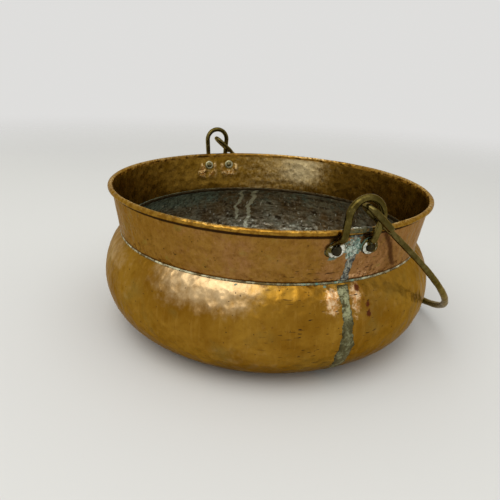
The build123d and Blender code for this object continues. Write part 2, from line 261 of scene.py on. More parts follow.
def spots(x, z, table):
    """Sum of soft spots: a bell across times a bell up times a strength, for each row."""
    return sum(strength * bell(x, at_x, wide) * bell(z, at_z, high)
               for at_x, at_z, wide, high, strength in table)


def front_turn(turn):
    """Degrees to the right of the front ear, between -180 and 180."""
    return (np.degrees(turn) + 90 + 180) % 360 - 180


def spun(radius, height, turns):
    """Points at a radius and a height at each angle round the pot's axis."""
    x, y, z = np.broadcast_arrays(radius * np.cos(turns), radius * np.sin(turns), height)
    return np.stack([x, y, z], axis=-1)


def turned(line, rise, turns):
    """Surface of revolution: each angle gets the line, moved out by rise along its normals."""
    out = right_hand(line)
    return spun(line[:, 0] + out[:, 0] * rise, line[:, 1] + out[:, 1] * rise, turns)


def tube(line, wide, deep, side, square=2.0, count=32):
    """Rod along a line in space: rings at right angles to it, wide along side and deep across.
    square is the power of the ring's superellipse: 2 is an ellipse, 4 nearly a box."""
    along = heading(line)
    side = units(side - along * np.sum(side * along, axis=1, keepdims=True))
    other = np.cross(along, side)
    turn = all_round(count)
    power = 2 / np.reshape(square, (-1, 1))
    c = np.sign(np.cos(turn)) * np.abs(np.cos(turn)) ** power
    s = np.sign(np.sin(turn)) * np.abs(np.sin(turn)) ** power
    return line[:, None] + (wide * c)[..., None] * side[:, None] + (deep * s)[..., None] * other[:, None]


# Meshes

def quads(wide, high, closed, first=0):
    """Corner numbers of the quads over a grid. Each row is a ring, and with closed the last
    row joins the first."""
    number = first + np.arange(wide * high).reshape(wide, high)
    if closed:
        number = np.concatenate([number, number[:1]])
    number = np.concatenate([number, number[:, :1]], axis=1)
    return np.stack([number[:-1, :-1], number[1:, :-1], number[1:, 1:], number[:-1, 1:]], axis=-1)


def in_metres(name, points, faces):
    """Mesh of points given in millimetres."""
    mesh = bpy.data.meshes.new(name)
    mesh.from_pydata((points * MM).tolist(), [], faces)
    return mesh


def put_mark(mesh, name, values):
    """Number at each vertex that the materials read."""
    layer = mesh.attributes.new(name, "FLOAT", "POINT")
    layer.data.foreach_set("value", values.astype(np.float32))


def skin(name, points, slot, node, finishes, closed=False, body="pot", pick=None, **marks):
    """Piece over a grid of points in millimetres, whose rows are rings. With closed the last
    row joins the first, and otherwise a fan round the middle of each end ring closes the tube.
    pick numbers the finish of each quad, and each mark is given over the grid."""
    wide, high = points.shape[:2]
    flat = points.reshape(-1, 3)
    squares = quads(wide, high, closed)
    faces = squares.reshape(-1, 4).tolist()
    if not closed:
        flat = np.r_[flat, [points[0].mean(axis=0), points[-1].mean(axis=0)]]
        for middle, start, order in ((wide * high, 0, 1), (wide * high + 1, (wide - 1) * high, -1)):
            faces += [[middle, start + k, start + (k + 1) % high][::order] for k in range(high)]
    mesh = in_metres(name, flat, faces)
    for finish in finishes:
        mesh.materials.append(finish)
    if pick is not None:
        index = np.broadcast_to(pick, squares.shape[:2]).reshape(-1).astype(np.int32)
        mesh.polygons.foreach_set("material_index", index)
    for mark, values in marks.items():
        full = np.zeros(len(flat))
        full[: wide * high] = np.broadcast_to(values, (wide, high)).reshape(-1)
        put_mark(mesh, mark, full)
    settle(name, mesh, body, [node])


def in_scene(name, data):
    """Object put into the scene."""
    thing = bpy.data.objects.new(name, data)
    bpy.context.scene.collection.objects.link(thing)
    return thing


def settle(name, mesh, body, nodes=()):
    """Object for a mesh: faces outwards, smooth, riding on its body in place of its nodes."""
    work = bmesh.new()
    work.from_mesh(mesh)
    bmesh.ops.recalc_face_normals(work, faces=work.faces)
    work.to_mesh(mesh)
    work.free()
    mesh.polygons.foreach_set("use_smooth", [True] * len(mesh.polygons))
    mesh.update()
    piece = in_scene(name, mesh)
    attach(piece, body)
    if nodes:
        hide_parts(*nodes)
    return piece


# Materials

class Recipe:
    """A material in the making. Sizes are in millimetres on the object, tones are linear red,
    green and blue, and colour is the colour laid down so far."""

    def __init__(self, name, metallic=1.0):
        self.material = bpy.data.materials.new(name)
        self.material.use_nodes = True
        self.tree = self.material.node_tree
        self.tree.nodes.clear()
        self.surface = self.add("ShaderNodeBsdfPrincipled")
        self.surface.inputs["Metallic"].default_value = metallic
        if metallic > 0.5:
            self.surface.inputs["Specular Tint"].default_value = (*GRAZING, 1)
        self.out = self.add("ShaderNodeOutputMaterial")
        self.put(self.out.inputs[0], self.surface.outputs[0])
        self.place = self.add("ShaderNodeTexCoord").outputs["Object"]
        self.normal = None
        self.colour = None

    def add(self, kind, **settings):
        node = self.tree.nodes.new(kind)
        for key, value in settings.items():
            setattr(node, key, value)
        return node

    def put(self, socket, value):
        if isinstance(value, bpy.types.NodeSocket):
            self.tree.links.new(value, socket)
        elif isinstance(value, tuple):
            socket.default_value = (*value, 1)
        else:
            socket.default_value = value

    def texture(self, kind, size, stretch, seed, **settings):
        """Four-dimensional texture with the object's place in it, stretched if asked."""
        node = self.add(kind, **settings)
        place = self.place
        if stretch is not None:
            mapping = self.add("ShaderNodeMapping")
            mapping.inputs["Scale"].default_value = stretch
            self.put(mapping.inputs["Vector"], place)
            place = mapping.outputs[0]
        self.put(node.inputs["Vector"], place)
        node.inputs["W"].default_value = seed
        node.inputs["Scale"].default_value = 1000.0 / size
        return node

    def noise(self, size, detail=3.0, rough=0.55, stretch=None, warp=0.0, seed=0.0):
        node = self.texture("ShaderNodeTexNoise", size, stretch, seed, noise_dimensions="4D")
        node.inputs["Detail"].default_value = detail
        node.inputs["Roughness"].default_value = rough
        node.inputs["Distortion"].default_value = warp
        return node.outputs[0]

    def dents(self, size, smoothness, stretch=None, seed=0.0):
        node = self.texture("ShaderNodeTexVoronoi", size, stretch, seed, voronoi_dimensions="4D",
                            feature="SMOOTH_F1")
        node.inputs["Smoothness"].default_value = smoothness
        return node.outputs["Distance"]

    def mark(self, name):
        return self.add("ShaderNodeAttribute", attribute_name=name).outputs["Fac"]

    def span(self, value, low, high, to_low=0.0, to_high=1.0):
        """to_low where a value is under low, to_high above high, and an S between."""
        node = self.add("ShaderNodeMapRange", interpolation_type="SMOOTHSTEP")
        for socket, number in zip(node.inputs, (value, low, high, to_low, to_high)):
            self.put(socket, number)
        return node.outputs[0]

    def sum(self, a, b, how="ADD"):
        node = self.add("ShaderNodeMath", operation=how)
        self.put(node.inputs[0], a)
        self.put(node.inputs[1], b)
        return node.outputs[0]

    def times(self, a, b):
        return self.sum(a, b, "MULTIPLY")

    def most(self, a, b):
        return self.sum(a, b, "MAXIMUM")

    def mix(self, share, a, b):
        """Colour a where share is 0, b where it is 1."""
        node = self.add("ShaderNodeMix", data_type="RGBA")
        for index, value in ((0, share), (6, a), (7, b)):
            self.put(node.inputs[index], value)
        return node.outputs[2]

    def blend(self, share, a, b):
        """Number a where share is 0, b where it is 1."""
        node = self.add("ShaderNodeMix")
        for index, value in ((0, share), (2, a), (3, b)):
            self.put(node.inputs[index], value)
        return node.outputs[0]

    def frayed(self, mark, noise, by):
        """Mark whose edge a noise breaks up."""
        return self.sum(self.mark(mark), self.times(self.sum(noise, -0.5), by))

    def patch(self, mark, noise, by, low, high, full):
        """Frayed mark that also stops where the mark itself runs out."""
        shape = self.span(self.frayed(mark, noise, by), low, high)
        return self.times(shape, self.span(self.mark(mark), 0.05, full))

    def smears(self, size, shiny, dull):
        """Roughness that drifts between two values."""
        return self.span(self.noise(size, 4, 0.6, seed=21), 0.3, 0.75, shiny, dull)

    def two_tone(self, noise, low, high, dark, light):
        return self.mix(self.span(noise, low, high), dark, light)

    def over(self, tone, share):
        """Lay a tone over the colour so far, by its share."""
        self.colour = self.mix(share, self.colour, tone)

    def fleck(self, tone, noise, low, high, most=1.0):
        """Lay a tone over the colour so far where a noise is high, and give that share."""
        share = self.span(noise, low, high, 0, most)
        self.over(tone, share)
        return share

    def bump(self, height, depth):
        node = self.add("ShaderNodeBump")
        node.inputs["Distance"].default_value = depth * MM
        self.put(node.inputs["Height"], height)
        if self.normal is not None:
            self.put(node.inputs["Normal"], self.normal)
        self.normal = node.outputs[0]

    def done(self, roughness, metallic=None):
        self.put(self.surface.inputs["Base Color"], self.colour)
        self.put(self.surface.inputs["Roughness"], roughness)
        if metallic is not None:
            self.put(self.surface.inputs["Metallic"], metallic)
        if self.normal is not None:
            self.put(self.surface.inputs["Normal"], self.normal)
        return self.material


def belly_outside_finish():
    """Ochre copper, darker in patches, with a painted highlight on the front-left shoulder and at
    both sides, bright polish beside the seam, rust stains, black dashes and pits, and specks of verdigris."""
    r = Recipe("belly_outside_copper")
    patches = r.noise(60, 4, 0.55, warp=0.5)
    r.colour = r.two_tone(patches, 0.35, 0.66, (0.235, 0.108, 0.008), (0.35, 0.185, 0.022))
    r.fleck((0.18, 0.072, 0.003), r.noise(8, 4, 0.65, seed=3), 0.42, 0.72, 0.45)
    r.fleck((0.23, 0.155, 0.035), r.noise(38, 4, 0.6, seed=14), 0.5, 0.72, 0.55)
    r.fleck((0.42, 0.235, 0.045), r.noise(3, 3, 0.6, stretch=(1, 1, 0.06), seed=5), 0.5, 0.78, 0.4)
    # Painted highlight: a paler tone where the lamp shines on the front-left shoulder and at both sides,
    # mottled by the hammer rise.
    worn = r.frayed("worn", r.noise(8, 5, 0.7, stretch=(1, 1, 0.85), seed=17), 1.3)
    worn = r.span(r.sum(worn, r.times(r.mark("facet"), 0.7)), 0.05, 1.35)
    r.over((0.78, 0.58, 0.32), r.times(worn, 0.9))
    polished = r.patch("polished", r.noise(4.5, 5, 0.75, seed=19), 2.6, 0.45, 1.1, 0.35)
    bright = r.two_tone(r.noise(3, 3, 0.6, seed=20), 0.4, 0.6, (0.66, 0.32, 0.10), (1.0, 0.72, 0.42))
    r.over(bright, r.times(polished, 0.9))
    stain = r.frayed("stain", r.noise(3, 4, 0.65, seed=27), 1.2)
    rust = r.fleck((0.12, 0.028, 0.012), stain, 0.35, 0.75, 0.92)
    dash = r.span(r.noise(4.2, 2, 0.45, stretch=(0.45, 0.45, 2.8), seed=11), 0.665, 0.68)
    pits = r.span(r.noise(2.6, 1, 0.4, seed=24), 0.735, 0.76, 0, 0.8)
    black = r.most(r.times(dash, r.mark("dashes")), pits)
    r.over((0.045, 0.022, 0.012), black)
    ragged = r.sum(r.mark("verdigris"), r.times(r.noise(2.2, 3, 0.6, seed=8), 0.8))
    ragged = r.fleck((0.16, 0.25, 0.19), ragged, 0.80, 1.0)
    rough = r.smears(20, 0.30, 0.44)
    rough = r.blend(worn, rough, 0.42)
    rough = r.blend(r.times(polished, 0.8), rough, 0.24)
    rough = r.blend(r.most(rust, r.most(black, ragged)), rough, 0.7)
    r.bump(r.dents(9.5, 0.3), 1.5)
    r.bump(r.dents(4.5, 0.4, seed=5), 0.35)
    r.bump(r.noise(3.0, 3, 0.6, seed=31), 0.14)
    return r.done(rough, r.blend(ragged, 1.0, 0.1))


def tinned_finish(name, underside=False):
    """Old tinning: brown and grey, streaked level by the hammer, with white specks, dark pits,
    green under the waist and two pale drips at the back. The lip is painted dark as shade in the
    gap at the waist, with a pale edge. The bottom pan is tinned on top only, so its underside is
    sooty copper."""
    r = Recipe(name, 0.85)
    blotch = r.noise(34, 5, 0.65, warp=0.6)
    r.colour = r.two_tone(blotch, 0.38, 0.62, (0.20, 0.140, 0.066), (0.35, 0.36, 0.285))
    level = r.noise(6, 5, 0.75, stretch=(0.35, 0.35, 2.0), seed=2)
    r.fleck((0.075, 0.048, 0.020), level, 0.45, 0.60, 0.85)
    r.fleck((0.42, 0.37, 0.28), r.noise(3.5, 4, 0.7, seed=12), 0.5, 0.64, 0.75)
    r.fleck((0.20, 0.11, 0.025), r.noise(30, 4, 0.6, seed=33), 0.52, 0.68, 0.6)
    r.fleck((0.040, 0.024, 0.010), r.noise(13, 4, 0.7, seed=25), 0.57, 0.64, 0.85)
    teal = r.two_tone(r.noise(5, 5, 0.75, seed=48), 0.40, 0.60, (0.075, 0.115, 0.105), (0.36, 0.49, 0.44))
    r.fleck(teal, r.frayed("verdigris", r.noise(11, 5, 0.75, seed=9), 3.0), 0.30, 1.05, 0.88)
    r.fleck((0.75, 0.76, 0.68), r.noise(3.0, 2, 0.5, stretch=(1, 1, 0.45), seed=6), 0.64, 0.69, 0.9)
    r.fleck((0.66, 0.68, 0.54), r.frayed("drip", r.noise(3.0, 4, 0.7, seed=4), 2.2), 0.35, 0.6, 0.95)
    # Painted shade: the lip is darkened where the gap at the waist shades it.
    lip = r.mark("lip")
    r.fleck((0.030, 0.020, 0.008), lip, 0.02, 0.25)
    edge = r.span(r.noise(5, 4, 0.7, seed=38), 0.48, 0.60, 0, 0.8)
    r.over((0.12, 0.12, 0.055), r.times(r.span(lip, 0.8, 0.95), edge))
    if underside:
        apart = r.add("ShaderNodeSeparateXYZ")
        r.put(apart.inputs[0], r.place)
        soot = r.noise(9, 5, 0.7, seed=51)
        below = r.two_tone(soot, 0.40, 0.62, (0.20, 0.090, 0.012), (0.050, 0.032, 0.016))
        r.colour = r.mix(r.span(apart.outputs["Z"], 0.3 * MM, 0.9 * MM), below, r.colour)
    r.bump(r.dents(6.0, 0.35, stretch=(1, 1, 1.15)), 1.5)
    r.bump(level, 0.7)
    r.bump(r.noise(1.8, 3, 0.6, seed=31), 0.2)
    return r.done(r.span(level, 0.3, 0.7, 0.34, 0.60))


def neck_outside_finish():
    """Ochre copper, pinker to the right of the front ear, with a golden nicked rim painted darker at the
    back as shade, painted shadow with some dirt under the rim and above the waist, dark dashes and pits
    near the seam, and a dark run."""
    r = Recipe("neck_outside_copper")
    patches = r.noise(46, 4, 0.6, warp=0.6, seed=2)
    r.colour = r.two_tone(patches, 0.35, 0.66, (0.240, 0.112, 0.014), (0.315, 0.164, 0.030))
    pink = r.frayed("pink", r.noise(20, 5, 0.7, seed=5), 2.2)
    r.fleck((0.325, 0.158, 0.062), pink, 0.15, 1.0, 0.85)
    r.fleck((0.16, 0.064, 0.008), r.noise(7, 5, 0.75, seed=15), 0.47, 0.66, 0.4)
    speckle = r.noise(3.2, 5, 0.8, seed=47)
    r.over((0.46, 0.24, 0.11), r.times(r.span(speckle, 0.52, 0.66, 0, 0.6), r.span(pink, 0.0, 1.0, 0.3, 1)))
    r.fleck((0.14, 0.055, 0.010), speckle, 0.47, 0.36, 0.5)
    rubbed = r.patch("polished", r.noise(3.5, 5, 0.8, seed=50), 2.6, 0.5, 1.1, 0.3)
    r.over((0.88, 0.52, 0.26), r.times(rubbed, 0.9))
    r.fleck((0.25, 0.20, 0.04), r.noise(15, 4, 0.65, seed=16), 0.56, 0.74, 0.5)
    r.fleck((0.40, 0.22, 0.06), r.noise(3.4, 4, 0.65, stretch=(1, 1, 0.12), seed=5), 0.48, 0.8, 0.35)
    nick = r.noise(2.0, 2, 0.5, stretch=(1, 1, 0.10), seed=41)
    golden = r.mark("rim")
    gold = r.two_tone(r.noise(6, 4, 0.65, seed=42), 0.38, 0.62, (0.22, 0.102, 0.010), (0.36, 0.195, 0.028))
    notched = r.times(r.mark("notched"), r.span(nick, 0.42, 0.60))
    gold = r.mix(r.times(notched, 0.9), gold, (0.95, 0.70, 0.32))
    # Painted shade: the rim is darker at the back.
    gold = r.mix(r.times(r.mark("behind"), 0.7), gold, (0.15, 0.075, 0.010))
    r.over(gold, r.times(golden, 0.95))
    stain = r.frayed("stain", r.noise(5, 4, 0.65, seed=7), 0.8)
    stain = r.fleck((0.085, 0.030, 0.012), stain, 0.2, 0.9, 0.85)
    dash = r.span(r.noise(3.8, 2, 0.45, stretch=(0.45, 0.45, 2.4), seed=12), 0.635, 0.655)
    pits = r.span(r.noise(2.4, 1, 0.4, seed=14), 0.73, 0.76, 0, 0.85)
    # Painted shadow with some dirt: dark under the rim roll and in the corner above the waist.
    grime = r.span(r.frayed("grime", r.noise(6, 4, 0.65, seed=37), 0.7), 0.3, 0.8, 0, 0.93)
    black = r.most(r.most(r.times(dash, r.mark("dashes")), pits), grime)
    r.over((0.030, 0.013, 0.006), black)
    green = r.frayed("verdigris", r.noise(3, 4, 0.65, seed=9), 1.0)
    green = r.fleck((0.135, 0.24, 0.19), green, 0.5, 0.8, 0.9)
    rough = r.smears(16, 0.30, 0.46)
    rough = r.blend(r.times(golden, 0.8), rough, 0.26)
    rough = r.blend(r.most(r.most(stain, black), green), rough, 0.7)
    r.bump(r.dents(8.5, 0.3), 1.4)
    r.bump(r.dents(4.0, 0.4, seed=5), 0.6)
    r.bump(r.times(nick, r.mark("notched")), 0.5)
    r.bump(r.noise(2.4, 3, 0.6, seed=31), 0.16)
    return r.done(rough, r.blend(green, 1.0, 0.15))


def neck_inside_finish():
    """Olive-brown copper, thickly mottled, painted in shade at the front and lit at the back, with a
    painted reflection high at the back, painted glints on the dents round the washers, and a painted
    shadow just above the waist."""
    r = Recipe("neck_inside_copper")
    patches = r.noise(26, 5, 0.68, warp=0.7, seed=4)
    # Painted shade and light: the dark tones are the inside in shade at the front, and the lighter copy
    # laid over at the back is the lit inside.
    r.colour = r.two_tone(patches, 0.36, 0.64, (0.062, 0.030, 0.003), (0.12, 0.062, 0.007))
    r.over(r.two_tone(patches, 0.36, 0.64, (0.25, 0.130, 0.010), (0.42, 0.245, 0.038)), r.mark("behind"))
    mottle = r.noise(4, 5, 0.8, seed=18)
    r.fleck((0.095, 0.050, 0.006), mottle, 0.46, 0.64, 0.5)
    r.fleck((0.30, 0.16, 0.025), r.noise(4, 4, 0.7, stretch=(1, 1, 0.2), seed=5), 0.50, 0.72, 0.3)
    # Painted reflection: a pale patch high on the inside at the back.
    r.fleck((0.80, 0.66, 0.37), r.frayed("glow", mottle, -2.2), 0.1, 1.3, 0.85)
    knock = r.noise(4.2, 4, 0.65, seed=19)
    # Painted highlight: bright glints on the dents round the washers, over an orange patch.
    dent = r.patch("polished", knock, 2.8, 0.2, 1.1, 0.4)
    r.over(r.two_tone(knock, 0.42, 0.58, (0.46, 0.19, 0.04), (1.0, 0.72, 0.33)), r.times(dent, 0.9))
    r.over((0.26, 0.14, 0.020), r.times(r.mark("rim"), 0.6))
    # Painted shadow: a dark band just above the waist inside.
    r.fleck((0.045, 0.040, 0.014), r.frayed("grime", r.noise(4, 4, 0.65, seed=37), 1.2), 0.5, 0.95, 0.85)
    r.fleck((0.030, 0.018, 0.008), r.noise(2.2, 3, 0.6, seed=14), 0.62, 0.69, 0.85)
    r.bump(r.times(knock, r.mark("polished")), 1.6)
    r.bump(r.dents(8, 0.35), 0.6)
    r.bump(mottle, 0.25)
    r.bump(r.noise(2.0, 3, 0.6, seed=31), 0.15)
    return r.done(r.blend(dent, r.smears(16, 0.30, 0.50), 0.24))


def brass_finish(name, dark, light, dirt=0.5, roughness=(0.24, 0.42)):
    """Worn rod brass: olive and brown, with dirt, verdigris and tin smears where marked."""
    r = Recipe(name)
    r.colour = r.two_tone(r.noise(14, 5, 0.65, seed=1), 0.36, 0.66, dark, light)
    r.fleck((0.035, 0.024, 0.006), r.noise(4, 5, 0.7, seed=4), 0.46, 0.68, dirt)
    r.fleck((0.42, 0.34, 0.13), r.noise(6, 4, 0.7, seed=44), 0.60, 0.72, 0.6)
    # Darker where marked: the handle's bow from about the belly's widest height down to its crown.
    r.over((0.035, 0.026, 0.008), r.mark("dull"))
    green = r.frayed("verdigris", r.noise(2.4, 4, 0.65, seed=9), 0.9)
    green = r.fleck((0.15, 0.26, 0.20), green, 0.45, 0.75, 0.95)
    silver = r.patch("smear", r.noise(3.0, 5, 0.75, seed=6), 2.4, 0.40, 0.72, 0.2)
    tin = r.two_tone(r.noise(2.2, 4, 0.7, seed=46), 0.42, 0.58, (0.40, 0.41, 0.33), (0.80, 0.80, 0.72))
    r.over(tin, silver)
    rough = r.smears(6, *roughness)
    rough = r.blend(green, rough, 0.8)
    rough = r.blend(silver, rough, 0.30)
    r.bump(r.noise(6, 3, 0.5, seed=12), 0.5)
    r.bump(r.noise(1.4, 3, 0.6, seed=31), 0.06)
    return r.done(rough, r.blend(green, 1.0, 0.1))


def braze_finish(name, patch, light, dark, spot, metallic=0.7):
    """Dull brazing metal in patches of two tones, spotted, with broken dark edges."""
    r = Recipe(name)
    r.colour = r.two_tone(r.noise(patch, 5, 0.7, warp=0.5), 0.40, 0.60, dark, light)
    r.over(dark, r.times(r.mark("low"), r.span(r.noise(6, 4, 0.7, seed=49), 0.40, 0.60, 0.95, 0.35)))
    r.fleck(spot, r.noise(2.2, 3, 0.6, seed=5), 0.58, 0.66, 0.9)
    r.over(spot, r.times(r.mark("edge"), r.span(r.noise(3, 3, 0.6, seed=6), 0.42, 0.56)))
    green = r.span(r.noise(4.5, 4, 0.7, seed=9), 0.44, 0.54)
    r.over((0.13, 0.30, 0.25), r.times(r.mark("verdigris"), green))
    r.bump(r.noise(2.5, 4, 0.6, seed=31), 0.3)
    return r.done(r.span(r.noise(4, 3, 0.6, seed=21), 0.3, 0.7, 0.36, 0.62), metallic)


def crust_finish(name, pale, green, dark, brown):
    """Dry lumpy crust in patches of pale and green over dark hollows and bare brown metal."""
    r = Recipe(name, 0.2)
    r.colour = r.two_tone(r.noise(7, 4, 0.7, warp=0.6, seed=3), 0.45, 0.55, dark, brown)
    r.fleck(green, r.noise(6, 5, 0.75, warp=0.8), 0.42, 0.54)
    flakes = r.noise(4.2, 5, 0.8, stretch=(1, 1, 0.6), warp=0.5, seed=5)
    r.over(pale, r.times(r.span(flakes, 0.47, 0.55), r.mark("pale")))
    r.bump(r.noise(2.0, 5, 0.7, seed=31), 1.1)
    return r.done(r.span(r.noise(2, 3, 0.6, seed=21), 0.3, 0.7, 0.35, 0.75))


def iron_finish():
    """Rusty iron of the wire in the rim."""
    r = Recipe("wire_iron")
    r.colour = r.two_tone(r.noise(6, 4, 0.65), 0.4, 0.6, (0.05, 0.035, 0.03), (0.16, 0.07, 0.035))
    r.bump(r.noise(1.5, 4, 0.6, seed=31), 0.1)
    return r.done(0.75, 0.6)


belly_outside = belly_outside_finish()
belly_inside = tinned_finish("belly_inside_tinned")
pan_tinned = tinned_finish("pan_tinned", underside=True)
neck_outside = neck_outside_finish()
neck_inside = neck_inside_finish()
ear_brass = brass_finish(
    "ear_brass", dark=(0.055, 0.040, 0.008), light=(0.150, 0.114, 0.030), roughness=(0.17, 0.34))
handle_brass = brass_finish(
    "handle_brass", dark=(0.070, 0.053, 0.013), light=(0.16, 0.126, 0.040), roughness=(0.17, 0.34))
rivet_brass = {
    "front": brass_finish("front_rivet_brass", dark=(0.014, 0.012, 0.008), light=(0.045, 0.039, 0.022),
                          dirt=0.4, roughness=(0.16, 0.30)),
    "back": brass_finish("back_rivet_brass", dark=(0.16, 0.13, 0.05), light=(0.34, 0.31, 0.16)),
}
washer_metal = brass_finish(
    "washer_metal", dark=(0.42, 0.40, 0.22), light=(0.66, 0.64, 0.44), dirt=0.35, roughness=(0.30, 0.50))
belly_braze = braze_finish(
    "belly_braze", 5.0, light=(0.38, 0.39, 0.22), dark=(0.080, 0.068, 0.024), spot=(0.030, 0.026, 0.012))
neck_braze = braze_finish(
    "neck_braze", 4.0, light=(0.38, 0.38, 0.30), dark=(0.030, 0.036, 0.040), spot=(0.015, 0.018, 0.020))
waist_braze = braze_finish(
    "waist_braze", 9.0, light=(0.60, 0.58, 0.38), dark=(0.11, 0.070, 0.018), spot=(0.04, 0.026, 0.010),
    metallic=0.3)
rim_tin = crust_finish(
    "rim_tin", pale=(0.78, 0.80, 0.64), green=(0.09, 0.095, 0.035), dark=(0.022, 0.018, 0.006),
    brown=(0.24, 0.12, 0.012))
ear_verdigris = crust_finish(
    "ear_verdigris", pale=(0.58, 0.66, 0.55), green=(0.13, 0.23, 0.18), dark=(0.030, 0.028, 0.010),
    brown=(0.15, 0.085, 0.018))


# Belly

def belly_line():
    """Outer face of the belly from its flange to the end of the lip: flat, bottom corner, two
    shoulder arcs whose radii follow from where they must end, the bend, and the lip."""
    slope = math.radians(SLOPE)
    slope_in = np.array([-math.cos(slope), math.sin(slope)])
    bend_turn = 90 - SLOPE + math.degrees(FLARE)
    bend_start = WAIST - slope_in * LIP_BEND * math.tan(math.radians(bend_turn / 2))
    first, last = math.radians(LOWER_TURN), math.radians(90 - SLOPE)
    steps = [[1 - math.cos(first), math.cos(first) - math.cos(last)],
             [math.sin(first), math.sin(last) - math.sin(first)]]
    low, high = np.linalg.solve(steps, [BELLY[0] - bend_start[0], bend_start[1] - BELLY[1]])
    lower_middle = BELLY - [low, 0]
    upper_middle = lower_middle + low * unit(first) - high * unit(first)
    bend_middle = bend_start + LIP_BEND * np.array([math.sin(slope), math.cos(slope)])
    bend = arc(bend_middle, LIP_BEND, 270 - SLOPE, 270 - SLOPE - bend_turn, 12)
    return np.concatenate([
        [[FLANGE, 0.0]],
        arc((FLAT, BELLY[1]), BELLY[1], -90, 0, 90),
        arc(lower_middle, low, 0, LOWER_TURN, 40)[1:],
        arc(upper_middle, high, LOWER_TURN, 90 - SLOPE, 30)[1:],
        bend[1:],
        [bend[-1] + NECK_UP * LIP],
    ])


belly_path = belly_line()
belly_run = lengths(belly_path)
BELLY_LENGTH = belly_run[-1]
LIP_START = BELLY_LENGTH - LIP - 2.0
BELLY_CELLS = 96                        # hammer blows round the belly
BELLY_CELL = ALL_ROUND * 165 / BELLY_CELLS


def hammered(turn, along, cells, size, seed):
    """Hammer blows round the pot: one of `cells` round it, and `size` apart along the sheet."""
    return blows(turn / ALL_ROUND * cells, along / size, cells, seed)


def belly_rise(turn, run):
    """How far the beaten belly stands out of its true line, from slow swells and hammer blows
    of two sizes, flatter at the front. It fades out at the flange and at the lip."""
    fade = smooth(run, 8, 30) * smooth(LIP_START - run, 0, 14)
    large = hammered(turn, run, BELLY_CELLS, BELLY_CELL, 11)
    small = hammered(turn, run, 170, 6.4, 12)
    beaten = 1 - 0.45 * bell(front_turn(turn), 10, 32)
    return fade * (0.28 * swell(turn, run, 5) + beaten * (0.52 * (large - 0.2) + 0.22 * (small - 0.2)))


def beat_belly():
    """The belly's line turned round the axis with its beaten rise, and the same line a sheet's
    thickness further in, with every second point, joined at the flange and at the lip."""
    turns = all_round(640)[:, None]
    steps = lengths(even(belly_path, 1.9))
    point = read_off(belly_path, belly_run, steps)
    rise = belly_rise(turns, steps[None])
    outer = turned(point, rise, turns)
    kept = np.unique(np.r_[0, np.arange(0, len(steps), 2), len(steps) - 1])
    inner = turned(point[kept] - right_hand(point)[kept] * SHEET, rise[:, kept], turns)
    points = np.concatenate([outer, inner[:, ::-1]], axis=1)
    run = np.r_[steps, steps[kept][::-1]]
    inside = np.repeat([0, 1], [len(steps), len(kept)])
    x, y, z = np.moveaxis(points, -1, 0)
    turn = front_turn(np.arctan2(y, x))
    front = y < 0
    # Painted highlight: the front-left shoulder where the lamp shines, and paler strips at both sides.
    worn_left = smooth(turn, -70, -50) * smooth(-17 - turn, 0, 22)
    worn_back = 0.4 * smooth(-turn, 74, 90) + 0.35 * smooth(turn, 100, 130)
    green = smooth(z, 66, 96) * (0.5 + 0.7 * bell(turn, -150, 45))
    way = 2.2 * np.sin(z * 0.23) + 1.2 * np.sin(z * 0.55 + 1)
    short_drip = bell(x, 35.5 + way + (z - 94.7) * 0.10, 2.4) * smooth(z, 52, 58)
    long_drip = bell(x, 53.5 + 0.8 * way + (z - 95) * 0.11, 3.3) * smooth(z, 34, 44)
    skin("belly_shell_beaten", points, "belly_copper", "belly_shell", [belly_outside, belly_inside],
         closed=True, pick=inside,
         polished=front * spots(x, z, BELLY_POLISH),
         stain=np.clip(front * spots(x, z, BELLY_STAINS), 0, 1),
         dashes=np.clip(front * (spots(x, z, BELLY_DASHES) + 0.3 * bell(x, -34, 40)), 0, 1),
         verdigris=inside * green + (1 - inside) * front * spots(x, z, BELLY_GREEN),
         drip=inside * (short_drip + long_drip) * (y > 0),
         worn=smooth(z, 66, 94) * (worn_left + worn_back),
         # The hammer rise, which mottles the painted highlight.
         facet=np.concatenate([rise, rise[:, kept][:, ::-1]], axis=1),
         lip=smooth(run, LIP_START, BELLY_LENGTH))


beat_belly()


def on_belly(x, z):
    """Place on the beaten belly's outer face at the front, and the direction out of it."""
    shoulder = belly_run < LIP_START
    run = np.interp(z, belly_path[shoulder, 1][1:], belly_run[shoulder][1:])
    radius = np.interp(run, belly_run, belly_path[:, 0])
    y = -np.sqrt(np.maximum(radius ** 2 - x ** 2, 0))
    out_level, out_up = (np.interp(run, belly_run, axis) for axis in right_hand(belly_path).T)
    away = np.stack([x / radius * out_level, y / radius * out_level, out_up], axis=-1)
    rise = belly_rise(np.arctan2(y, x), run)
    return np.stack([x, y, z], axis=-1) + away * rise[..., None], away


def on_sheet(place, out, lift):
    """Rings over metal that lies on a sheet: its top face out, and its underside back, sunk in
    the sheet."""
    return np.concatenate([place + out * lift[..., None], (place - out * 0.5)[:, ::-1]], axis=1)


def seam(name, slot, node, finish, surface, seed, ragged, proud, heights, left, right):
    """Seam metal: a low ridge between two wandering sides, thinning to nothing at both, with
    its underside sunk in the sheet. surface gives the place and the outward direction for an
    x and a height."""
    at = np.arange(heights[0], heights[-1] + 0.5, 1.0)
    left = np.interp(at, heights, left) + ragged * waver(at, seed, 14)
    right = np.interp(at, heights, right) + ragged * waver(at, seed + 1, 11)
    share = np.linspace(0, 1, 14)
    x = left[:, None] + (right - left)[:, None] * share
    side = np.abs(2 * share - 1)
    lift = proud * (1 - side ** 6) + 0.05 * waver(x + at[:, None], seed + 2, 9)
    place, out = surface(x, np.broadcast_to(at[:, None], x.shape))
    points = on_sheet(place, out, lift)
    low = smooth(80 - points[..., 2], 0, 8)
    skin(name, points, slot, node, [finish], edge=np.r_[side, side] ** 3, low=low)


